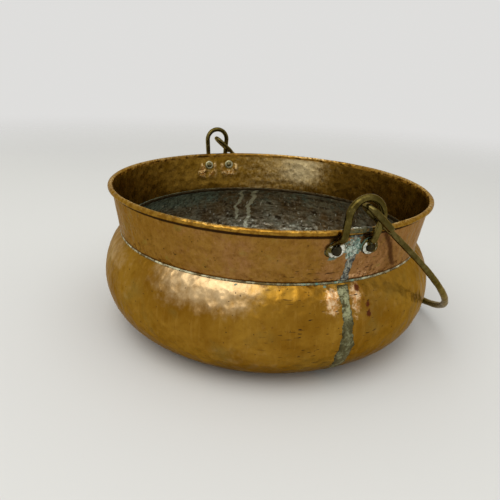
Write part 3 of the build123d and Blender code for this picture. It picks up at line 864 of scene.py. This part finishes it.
seam("belly_seam_metal", "seam_braze", "belly_seam", belly_braze, on_belly, seed=41, ragged=0.7, proud=0.32,
     heights=[1.0, 24, 38, 50, 62, 74, 84, 93, 99, 102.4],
     left=[-8.6, -9.3, -12.5, -10.9, -10.4, -10.0, -10.0, -10.9, -11.6, -11.2],
     right=[2.6, 3.0, 2.3, 4.3, 0.3, 0.5, -1.6, -2.0, 0.0, 0.5])


# Neck

def neck_section():
    """Closed section of the neck: outer face up, round the inside of the roll, over its end,
    back round the outside of the roll, and down the inner face."""
    foot = WAIST + NECK_UP * CUT_EDGE
    top = BEAD - NECK_OUT * BEAD_RADIUS
    start = 180 - math.degrees(FLARE)
    face = even(np.array([foot + NECK_OUT * SHEET, top + NECK_OUT * SHEET]), 1.6)
    hidden = arc(BEAD, BEAD_RADIUS - SHEET, start, start - BEAD_TURN, 14)[1:]
    roll = arc(BEAD, BEAD_RADIUS, start - BEAD_TURN, start, 34)
    back = even(np.array([top, foot]), 2.2)[1:]
    return face, hidden, roll, back


def neck_rise(turn, height):
    """How far the beaten neck stands out: swells and two sizes of blows that fade out at the
    waist, under the rim and under the ears."""
    fade = smooth(height, 106, 112) * smooth(151 - height, 0, 8)
    large = hammered(turn, height, 110, 9.4, 21)
    small = hammered(turn, height, 190, 5.6, 22)
    off_ear = np.abs(front_turn(turn))
    calm = smooth(off_ear, 9, 14) * smooth(180 - off_ear, 9, 14)
    return fade * calm * (0.22 * swell(turn, height, 6) + 0.34 * (large - 0.2) + 0.14 * (small - 0.2))


def beat_neck():
    """The neck's section turned round the axis. Its faces get their beaten rise, the roll slow
    swells and nicks along its inner top, and the whole band a wavering height."""
    turns = all_round(960)[:, None]
    turn = front_turn(turns)
    face, hidden, roll, back = neck_section()
    line = np.concatenate([face, hidden, roll, back])
    part = np.repeat([0, 1, 2, 3], [len(face), len(hidden), len(roll), len(back)])
    out = np.concatenate([
        np.tile(NECK_OUT, (len(face), 1)), units(BEAD - hidden), units(roll - BEAD),
        np.tile(NECK_OUT, (len(back), 1)),
    ])
    on_roll = np.arctan2(roll[:, 1] - BEAD[1], roll[:, 0] - BEAD[0])
    nick = blows(turns / ALL_ROUND * 300, 0 * turns + 0.5, 300, 31, 0.9, 14.0)
    uneven = swell(turns, 0, 33, 7, 14)
    nicks = 0.45 * np.clip(nick - 0.12, -0.12, 0.3) * (0.35 + 0.65 * smooth(uneven, -0.3, 0.9))
    off_ears = np.minimum(np.abs(turn), 180 - np.abs(turn))
    rim_swell = 0.08 * swell(turns, 0, 34, 9, 24) * smooth(off_ears, 6, 14)
    rise = np.concatenate([
        neck_rise(turns, face[:, 1]), np.zeros((len(turns), len(hidden))),
        nicks * bell(on_roll, 2.0, 0.75) + rim_swell, 0.55 * neck_rise(turns, back[:, 1]),
    ], axis=1)
    up = line[:, 1]
    waves = 0.35 * swell(turns, 0, 35, 5, 5) * smooth(up, 110, 150)
    points = spun(line[:, 0] + out[:, 0] * rise, up + out[:, 1] * rise + waves, turns)

    x, y, z = np.moveaxis(points, -1, 0)
    inside = part == 3
    front = (y < 0) * ~inside
    # Painted shadow with some dirt: under the rim roll and above the waist outside, and a band just above
    # the waist inside.
    under_rim = np.where(part == 2, smooth(152.2 - up, 0, 1.2), smooth(up, 146.4, 148.6))
    grime = np.where(inside, 0.7 * smooth(108.5 - up, 0, 3), under_rim + 0.45 * smooth(108.0 - up, 0, 2.5))
    # Painted reflection of the light high inside the neck at the back.
    glow = inside * (bell(turn, 138, 11) * smooth(up, 106, 130) + 0.35 * bell(turn, 158, 16))
    pink = smooth(turn, -26, 10) * (1 - 0.7 * smooth(turn, 40, 70)) + 0.5 * bell(turn, -36, 15)
    run_down = bell(x - (140.7 - z) * 0.58 - 0.7 * np.sin(z * 0.25), 37, 4.2) * smooth(z, 106, 112)
    waist_green = smooth(107.5 - z, 0, 2) * bell(turn, -20, 22)
    # Painted highlights: glints on the dents round the washers inside.
    dents = inside * (y > 0) * spots(x, z, WASHER_DENTS)
    notched = np.zeros(points.shape[:2])
    notched[:, part == 2] = bell(on_roll, 1.9, 0.7) * (0.25 + 0.75 * smooth(uneven, -0.6, 0.7))
    skin("neck_band_beaten", points, "neck_copper", "neck_band", [neck_outside, neck_inside],
         closed=True, pick=inside,
         rim=np.where(inside, smooth(up, 148, 153), part == 2),
         pink=front * pink,
         stain=front * (0.95 * run_down + spots(x, z, NECK_STAINS)),
         dashes=np.clip(front * spots(x, z, NECK_DASHES), 0, 1),
         verdigris=front * (spots(x, z, NECK_GREEN) + 0.6 * waist_green),
         # Polish at the front outside, and painted glints on the washer dents inside, in one mark.
         polished=np.clip(dents + front * spots(x, z, NECK_POLISH), 0, 1),
         glow=glow,
         grime=grime,
         notched=notched,
         # Where the back of the band is painted: lit inside, and the rim in shade.
         behind=np.clip(bell(np.abs(turn), 180, 40) * smooth(up, 104, 118) + glow, 0, 1))


beat_neck()


def neck_radius(height):
    """Radius of the neck's outer face at a height."""
    return WAIST[0] + SHEET / math.cos(FLARE) + (height - WAIST[1]) * math.tan(FLARE)


def on_neck(x, z):
    """Place on the neck's outer face at the front, and the direction out of it."""
    radius = neck_radius(z)
    y = -np.sqrt(radius ** 2 - x ** 2)
    away = np.stack([x / radius * NECK_OUT[0], y / radius * NECK_OUT[0], NECK_OUT[1] + 0 * x], axis=-1)
    rise = neck_rise(np.arctan2(y, x), z)
    return np.stack([x, y, z], axis=-1) + away * rise[..., None], away


seam("neck_seam_metal", "neck_braze", "neck_seam", neck_braze, on_neck, seed=51, ragged=0.55, proud=0.3,
     heights=[105.4, 108, 113, 117, 122, 126, 132, 140, 149],
     left=[-6.6, -6.6, -5.9, -5.6, -5.2, -4.4, -4.0, -3.6, -3.4],
     right=[0.9, 1.3, 0.8, 1.4, 2.4, 3.6, 3.2, 3.0, 3.0])


def waist_fillet():
    """Bead of braze in the waist corner. Its section is a rounded triangle under the neck's cut
    edge, and it swells, thins and breaks up along its way."""
    turns = all_round(1100)[:, None]
    turn = front_turn(turns)
    run = turns * 164
    dashed = smooth(turn, -40, -30) * smooth(80 - turn, 0, 20)
    whole = smooth(np.sin(run * WAVE / 15.5 + waver(run, 63, 40)), 0.1, 0.6)
    gap = dashed * (1 - whole)
    size = 0.22 + 0.20 * waver(run, 61, 90, 6) + 0.2 * blows(run / 14, 0 * run, 80, 62)
    swollen = np.clip(size * (1 - 0.9 * gap), 0.15, 1.5)
    pale = (1 - gap) * (1 - 0.6 * smooth(turn, -42, -32) * smooth(8 - turn, 0, 6))
    shape = np.array([[-0.9, 0.2], [-0.1, 0.75], [0.25, 0.45], [0.75, -0.05], [1.25, -0.6], [0.6, -1.3],
                      [-0.6, -1.0]])
    reach = np.array([0, 0.5, 0.8, 0.9, 1.0, 0.0, 0.0])
    middle = WAIST + NECK_OUT * SHEET * 0.9 + NECK_UP * 0.35
    radius = middle[0] + shape[:, 0] * (1 + (swollen - 1) * reach * 0.8)
    height = middle[1] + shape[:, 1] * (1 + (swollen - 1) * reach * 0.5)
    skin("waist_seam_metal", spun(radius, height, turns), "waist_braze", "waist_seam", [waist_braze],
         closed=True, low=1 - pale, verdigris=bell(turn, -5, 13) * (0.2 + 0.8 * whole))


waist_fillet()


# Ears, rivets and washers

def seat(ear, hand):
    """Middle of a foot on the neck's outer face and three directions: along, up and out."""
    across, height = ear[hand], BEAD[1] - ear["drop"]
    radius = neck_radius(height)
    deep = math.sqrt(radius ** 2 - across ** 2)
    level = np.array([across, ear["side"] * deep, 0]) / radius
    along = np.cross([0, 0, 1.0], level)
    out = level * math.cos(FLARE) - np.array([0, 0, math.sin(FLARE)])
    return np.array([across, ear["side"] * deep, height]), along, np.cross(out, along), out


def foot_surface(place, turn):
    """Hammered foot: a disc with an elliptical outline and a rounded edge, as rings from the
    middle of its face over the edge to the middle of its underside."""
    spot, along, up, out = place
    length, width, thick = FOOT
    angle = all_round(72)[:, None]
    t = math.radians(turn)
    wobble = 1 + 0.035 * np.sin(3 * angle + turn) + 0.025 * np.sin(5 * angle + 2 * turn)
    x = np.cos(angle) * length / 2 * wobble
    y = np.sin(angle) * width / 2 * wobble
    outline = along * (x * math.cos(t) - y * math.sin(t)) + up * (x * math.sin(t) + y * math.cos(t))
    rings = [(0.02, thick), (0.4, thick), (0.7, thick - 0.05), (0.86, thick - 0.3), (0.95, thick - 0.8),
             (1.0, thick - 1.5), (0.99, 0.2), (0.97, -0.8), (0.5, -0.8), (0.02, -0.8)]
    return np.array([spot + outline * share + out * lift for share, lift in rings])


def ear_rod(ear):
    """Middle line of each half of the ear's rod: half the arch with its leg, and the step from
    there in to the foot, a cubic curve that leaves along the leg and arrives from above."""
    lean = math.radians(ear["lean"])
    across = np.array([math.cos(lean), 0, -math.sin(lean)])
    upward = np.array([math.sin(lean), 0, math.cos(lean)])
    origin = np.array([ear["shift"], ear["side"] * EAR_STAND, BEAD[1]])
    halves = []
    for hand, sign, draw in (("left", -1, ear["draws"][0]), ("right", 1, ear["draws"][1])):
        bend = arc((0, ear["top"] - ear["arch"]), ear["arch"], 90, -draw, 40)
        down = np.array([-math.sin(math.radians(draw)), -math.cos(math.radians(draw))])
        flat = np.r_[bend, [bend[-1] + down * (bend[-1, 1] + LEG_DROP)]]
        flat[:, 0] *= sign
        rod = origin + flat[:, :1] * across + flat[:, 1:] * upward
        spot, _, _, out = seat(ear, hand)
        a = rod[-1]
        b = a + (a - rod[-2]) / np.linalg.norm(a - rod[-2]) * 5.0
        foot = spot + out * (FOOT[2] / 2) + np.array([0, 0, FOOT[1] / 2 - FOOT[2]])
        c = foot + np.array([0, 0, 3.2])
        d = foot - np.array([0, 0, 3.0])
        s = np.linspace(0, 1, 24)[:, None]
        step = (1 - s) ** 3 * a + 3 * (1 - s) ** 2 * s * b + 3 * (1 - s) * s ** 2 * c + s ** 3 * d
        halves.append((even(rod, 0.8), even(step, 0.5)))
    return halves


def ear_blank(name, ear):
    """Rod and feet as closed grids in one mesh. The rod is flattened towards both feet."""
    (left_rod, left_step), (right_rod, right_step) = ear_rod(ear)
    line = np.concatenate([left_step[::-1][:-1], left_rod[::-1][:-1], right_rod, right_step[1:]])
    squash = smooth(np.concatenate([
        np.linspace(1, 0, len(left_step))[:-1], np.zeros(len(left_rod) - 1 + len(right_rod)),
        np.linspace(0, 1, len(right_step))[1:],
    ]), 0, 1)
    wobble = 0.06 * waver(lengths(line), 71 + ear["side"], 23)
    wide = ear["rod"] * (1 + 0.75 * squash) + wobble
    deep = ear["rod"] * (1 - squash) + (FOOT[2] / 2) * squash + wobble
    across = np.cross(heading(line), [0, -1.0, 0])
    turn = -ear["side"] * ear["splay"]
    grids = [tube(line, wide[:, None], deep[:, None], across, 2 + squash),
             foot_surface(seat(ear, "left"), turn), foot_surface(seat(ear, "right"), -turn)]
    faces, start = [], 0
    for grid in grids:
        rings, count = grid.shape[:2]
        last = start + (rings - 1) * count
        faces += quads(rings, count, False, start).reshape(-1, 4).tolist()
        faces += [list(range(start, start + count))[::-1], list(range(last, last + count))]
        start += rings * count
    return in_metres(name, np.concatenate([grid.reshape(-1, 3) for grid in grids]), faces)


def mark_ear(mesh, ear):
    """Tin smeared over the feet round their rivets, and verdigris round the feet's edges and
    where the rod passes the rim. Both are stronger towards the middle of the ear."""
    count = len(mesh.vertices)
    xyz = np.empty(count * 3)
    mesh.vertices.foreach_get("co", xyz)
    xyz = xyz.reshape(-1, 3) / MM
    smear, verdigris = np.zeros(count), np.zeros(count)
    for hand, sign in (("left", 1), ("right", -1)):
        spot, along, up, out = seat(ear, hand)
        level, rise, proud = ((xyz - spot) @ way for way in (along, up, out))
        flat = np.hypot(level, rise)
        inward = level * sign * -ear["side"]
        patch = smooth(proud, 1.6, 2.5) * (1 - smooth(proud, 3.4, 4.4))
        patch = patch * smooth(9.5 - flat, 0, 2.5) * (1 - smooth(rise, 4, 7.5))
        smear = np.maximum(smear, patch * (0.74 + 0.06 * np.clip(inward, -5, 5)))
        edge = (flat < 13) * (1 - smooth(proud, 0.4, 2.0)) + 0.5 * (flat < 12) * smooth(flat, 8.0, 10)
        verdigris = np.maximum(verdigris, edge * (0.75 + 0.04 * np.clip(inward, -6, 6)))
    if ear["side"] > 0:
        smear *= 0.55
        verdigris *= 0.7
    put_mark(mesh, "smear", smear)
    put_mark(mesh, "verdigris", np.maximum(verdigris, 0.45 * (1 - smooth(np.abs(xyz[:, 2] - 157), 0, 4))))


def forge_ear(which, ear):
    """Ear whose rod and feet are welded on a voxel grid and then relaxed."""
    name = f"{which}_ear"
    blank = settle(name + "_blank", ear_blank(name, ear), "pot")
    weld = blank.modifiers.new("weld", "REMESH")
    weld.mode = "VOXEL"
    weld.voxel_size = WELD_GRID * MM
    relax = blank.modifiers.new("relax", "SMOOTH")
    relax.iterations = 5
    bpy.context.view_layer.update()
    mesh = bpy.data.meshes.new_from_object(blank.evaluated_get(bpy.context.evaluated_depsgraph_get()))
    bpy.data.objects.remove(blank)
    mesh.name = name
    mark_ear(mesh, ear)
    mesh.materials.clear()
    mesh.materials.append(ear_brass)
    settle(name + "_forged", mesh, "pot", [name])


def round_off(place, radius, lift, angle):
    """Rings round a rivet's line: radius and lift for each ring and angle."""
    spot, along, up, out = place
    around = np.cos(angle)[:, None] * along + np.sin(angle)[:, None] * up
    return spot + radius[..., None] * around + lift[..., None] * out


def cap(radius, height, base, count=9):
    """Half profile of a domed head, from its top to its edge."""
    t = np.linspace(0.02, 1, count)
    return np.c_[radius * t, base + height * np.sqrt(np.clip(1 - t ** 2.4, 0, 1))]


def beat_rivet(which, hand, place, seed):
    """Head, shank and peen turned round the rivet's line, each ring a little out of round and
    each point a little knocked about."""
    draw = np.random.default_rng(seed)
    angle = all_round(40)
    profile = np.r_[
        cap(HEAD[0], HEAD[1], FOOT[2] - 0.1),
        [[SHANK, FOOT[2] - 0.15], [SHANK, WASHER_FACE + 0.1]],
        cap(PEEN[0], -PEEN[1], WASHER_FACE + 0.05)[::-1],
    ]
    ring = 1 + 0.05 * np.sin(2 * angle + draw.uniform(0, 6)) + 0.03 * np.sin(3 * angle + draw.uniform(0, 6))
    knock = 0.12 * np.sin(2 * angle + draw.uniform(0, 6)) * (profile[:, :1] / profile[:, 0].max())
    points = round_off(place, profile[:, :1] * ring, profile[:, 1:] + knock, angle)
    skin(f"{which}_{hand}_rivet_beaten", points, f"{which}_rivet_brass", f"{which}_{hand}_rivet",
         [rivet_brass[which]])


def beat_washer(which, hand, place, seed):
    """The washer's closed profile turned round the rivet's line, a little out of round."""
    angle = all_round(48)
    hole, edge = SHANK + 0.1, WASHER[0]
    profile = [0, WASHER_FACE] + np.array([
        [hole, 0.9], [hole, 0], [hole + 1.3, -0.05], [edge - 0.4, 0.02], [edge, 0.35], [edge, 0.95]])
    ring = 1 + 0.02 * np.sin(2 * angle + seed) + 0.012 * np.sin(5 * angle)
    points = round_off(place, profile[:, :1] * ring, profile[:, 1:], angle)
    skin(f"{which}_{hand}_washer_beaten", points.transpose(1, 0, 2), "washer_metal",
         f"{which}_{hand}_washer", [washer_metal], closed=True)


for which, ear in EARS.items():
    forge_ear(which, ear)

for which, ear in EARS.items():
    for hand in ("left", "right"):
        seed = 80 + len(which) + len(hand)
        beat_rivet(which, hand, seat(ear, hand), seed)
        beat_washer(which, hand, seat(ear, hand), seed)


# Solder and crust at the front ear

def over_roll(x, angle, away):
    """Point at an x and at an angle and a distance from the middle of the roll, at the front."""
    radius = BEAD[0] + away * np.cos(angle)
    return np.stack([x, -np.sqrt(radius ** 2 - x ** 2), BEAD[1] + away * np.sin(angle)], axis=-1)


def rim_solder():
    """Solder over the rim: a skin round the roll, thick in lumps and thinning at its edges."""
    across = np.linspace(*SOLDER_X, 100)
    angle = np.radians(np.linspace(-35, 215, 60))
    edge_x = smooth(across - SOLDER_X[0], 0, SOLDER_FADE) * smooth(SOLDER_X[1] - across, 0, SOLDER_FADE)
    edge_a = np.minimum(smooth(angle, angle[0], angle[0] + 0.5), smooth(angle[-1] - angle, 0, 0.5))
    x, around = np.meshgrid(across, angle, indexing="ij")
    lumps = 0.5 + 0.45 * waver(x + 3 * np.sin(around), 91, 9) + 0.3 * waver(around * 6 + x * 0.4, 92, 7)
    thick = -0.25 + (0.35 + 0.75 * np.clip(lumps, 0, 1.2)) * edge_x[:, None] * edge_a
    top = over_roll(x, around, BEAD_RADIUS + thick)
    under = over_roll(x, around, BEAD_RADIUS - 0.5)
    skin("rim_solder_run", np.concatenate([top, under[:, ::-1]], axis=1), "solder", "rim_solder", [rim_tin],
         pale=smooth(np.r_[angle, angle[::-1]], 0.9, 1.7))


def ear_crust():
    """Crust between the feet: lumps over an uneven oval on the neck, from its middle outwards,
    with its underside sunk in the sheet."""
    angle = all_round(120)[:, None]
    share = np.linspace(0.02, 1, 36)
    edge = 1 + 0.13 * waver(angle * 20, 95, 31.4) + 0.07 * np.sin(9 * angle + 1)
    x = CRUST_MIDDLE[0] + CRUST_HALF[0] * edge * share * np.cos(angle)
    z = CRUST_MIDDLE[1] + CRUST_HALF[1] * edge * share * np.sin(angle)
    place, out = on_neck(x, z)
    lumps = 0.55 + 0.4 * waver(x * 1.3 + 2 * np.sin(z), 96, 8) + 0.35 * waver(z * 1.1 - x * 0.5, 97, 7)
    thick = -0.1 + 1.25 * np.clip(lumps, 0.1, 1.3) * (1 - share ** 4) + 0.15 * (1 - share)
    points = on_sheet(place, out, thick).transpose(1, 0, 2)
    skin("ear_crust_run", points, "verdigris", "ear_crust", [ear_verdigris], pale=1)


rim_solder()
ear_crust()


# Handle

def handle_line():
    """Middle line of the handle in its own plane, u along the swing line and v away from it,
    with the number of points in a hook and in the bow."""
    outside, inside = EAR_STAND + HOOK_GAP, EAR_STAND - HOOK_GAP
    start = math.degrees(math.asin((BOW_START - BOW_OFFSET) / BOW_RADIUS))
    bow_end = np.array([0, BOW_OFFSET]) + BOW_RADIUS * unit(math.radians(start))
    upward = np.array([-math.sin(math.radians(start)), math.cos(math.radians(start))])
    corner = bow_end - upward * (BOW_START - HOOK_CORNER) / upward[1]
    hook = filleted([(outside - 0.6, 30.0), (outside, 22.0), (outside, 0.0), (inside, 0.0), (inside, 22.6),
                     corner, bow_end], HOOK_FILLETS)
    bow = arc((0, BOW_OFFSET), BOW_RADIUS, start, 180 - start, 500)
    return np.concatenate([hook, bow[1:-1], hook[::-1] * [-1, 1]]), len(hook), len(bow) - 2


def bend_handle():
    """Rod along the handle's line, folded down about the swing line. It thickens towards the
    crown and at the hooks' ends, is rounded at its tips, and is knocked about."""
    flat, hook_count, bow_count = handle_line()
    crown = np.sin(math.pi * np.linspace(0, 1, bow_count)) ** 1.2
    radius = HOOK_ROD + (CROWN_ROD - HOOK_ROD) * np.pad(crown, hook_count)
    run = lengths(flat)
    at = np.linspace(0, run[-1], 900)
    u, v = read_off(flat, run, at).T
    radius = np.interp(at, run, radius)
    end = np.minimum(at, run[-1] - at)
    radius *= 1 + 0.13 * smooth(32 - end, 0, 12) - 0.07 * smooth(end, 44, 52) * smooth(88 - end, 0, 20)
    radius *= np.sqrt(np.clip(1 - np.clip(1 - end / TIP, 0, 1) ** 2 * 0.75, 0.05, 1))
    line = np.stack([v * math.cos(FOLD), u, SWING - v * math.sin(FOLD)], axis=1)
    turn = all_round(40)
    dents = blows(turn[None] / ALL_ROUND * 5, at[:, None] / 5.5, 5, 101, 0.9)
    loose = smooth(end, 45, 70)[:, None]
    knocked = radius[:, None] - 0.6 * (0.03 + 0.22 * loose) * (dents - 0.25)
    knocked = knocked + (0.03 + 0.1 * loose) * waver(at, 102, 47)[:, None]
    points = tube(line, knocked, knocked, np.array([math.sin(FOLD), 0, math.cos(FOLD)]), count=len(turn))
    skin("handle_bent", points, "handle_brass", "handle", [handle_brass], body="bail",
         verdigris=0.35 * bell(end, 52, 14)[:, None],
         # Darker down the bow towards its crown.
         dull=0.75 * smooth(end, run[-1] / 2 - 185, run[-1] / 2 - 105)[:, None])


bend_handle()

# Pieces that keep their CAD shape
for node, finish in (("bottom_pan", pan_tinned), ("bottom_seam", waist_braze), ("rim_wire", iron_finish())):
    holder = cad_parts[node]
    holder.data.materials.clear()
    holder.data.materials.append(finish)


# Floor, light and camera

def floor():
    """Round floor whose edge fades away, so that no line shows where it ends."""
    mesh = bpy.data.meshes.new("floor")
    angle = all_round(FLOOR_SIDES)
    rim = np.stack([FLOOR_RADIUS * np.cos(angle), FLOOR_RADIUS * np.sin(angle), 0 * angle], axis=1)
    mesh.from_pydata(rim.tolist(), [], [list(range(FLOOR_SIDES))])
    r = Recipe("floor_paper", 0.0)
    r.colour = r.two_tone(r.noise(900, 2, 0.5), 0.3, 0.7, (0.645, 0.65, 0.635), (0.665, 0.67, 0.65))
    r.surface.inputs["Specular IOR Level"].default_value = 0.15
    away = r.add("ShaderNodeVectorMath", operation="LENGTH")
    r.put(away.inputs[0], r.place)
    fade = r.add("ShaderNodeMixShader")
    r.put(fade.inputs[0], r.span(away.outputs["Value"], *FLOOR_FADE))
    r.put(fade.inputs[1], r.surface.outputs[0])
    r.put(fade.inputs[2], r.add("ShaderNodeBsdfTransparent").outputs[0])
    r.put(r.out.inputs["Surface"], fade.outputs[0])
    mesh.materials.append(r.done(0.85))
    piece = in_scene("floor", mesh)


def sky():
    """Even pale light from all round. The camera sees the tone that the floor fades to."""
    world = bpy.data.worlds.new("studio")
    bpy.context.scene.world = world
    world.use_nodes = True
    tree = world.node_tree
    tree.nodes.clear()
    rays = tree.nodes.new("ShaderNodeLightPath")
    both = tree.nodes.new("ShaderNodeMixShader")
    out = tree.nodes.new("ShaderNodeOutputWorld")
    tree.links.new(rays.outputs["Is Camera Ray"], both.inputs[0])
    tree.links.new(both.outputs[0], out.inputs[0])
    for socket, tone, strength in ((both.inputs[1], SKY, SKY_STRENGTH), (both.inputs[2], FLOOR_SEEN, 1.0)):
        shade = tree.nodes.new("ShaderNodeBackground")
        shade.inputs["Color"].default_value = (*tone, 1)
        shade.inputs["Strength"].default_value = strength
        tree.links.new(shade.outputs[0], socket)


def lamp(name, place, target, size, power, colour):
    """Square lamp that shines at its target and that the camera doesn't see."""
    data = bpy.data.lights.new(name, "AREA")
    data.shape = "RECTANGLE"
    data.size = size
    data.size_y = size
    data.energy = power
    data.color = colour
    thing = in_scene(name, data)
    thing.location = place
    thing.rotation_euler = (Vector(target) - Vector(place)).to_track_quat("-Z", "Y").to_euler()
    thing.visible_camera = False


floor()
sky()
for settings in LAMPS:
    lamp(**settings)

camera_data = bpy.data.cameras.new("photo_camera")
camera_data.lens = CAMERA_LENS
camera_data.sensor_width = CAMERA_FILM
camera_data.clip_start = 0.01
camera = in_scene("photo_camera", camera_data)
camera.location = CAMERA_PLACE
camera.rotation_euler = [math.radians(turn) for turn in CAMERA_TURN]
bpy.context.scene.camera = camera
bpy.context.scene.view_settings.view_transform = "Standard"
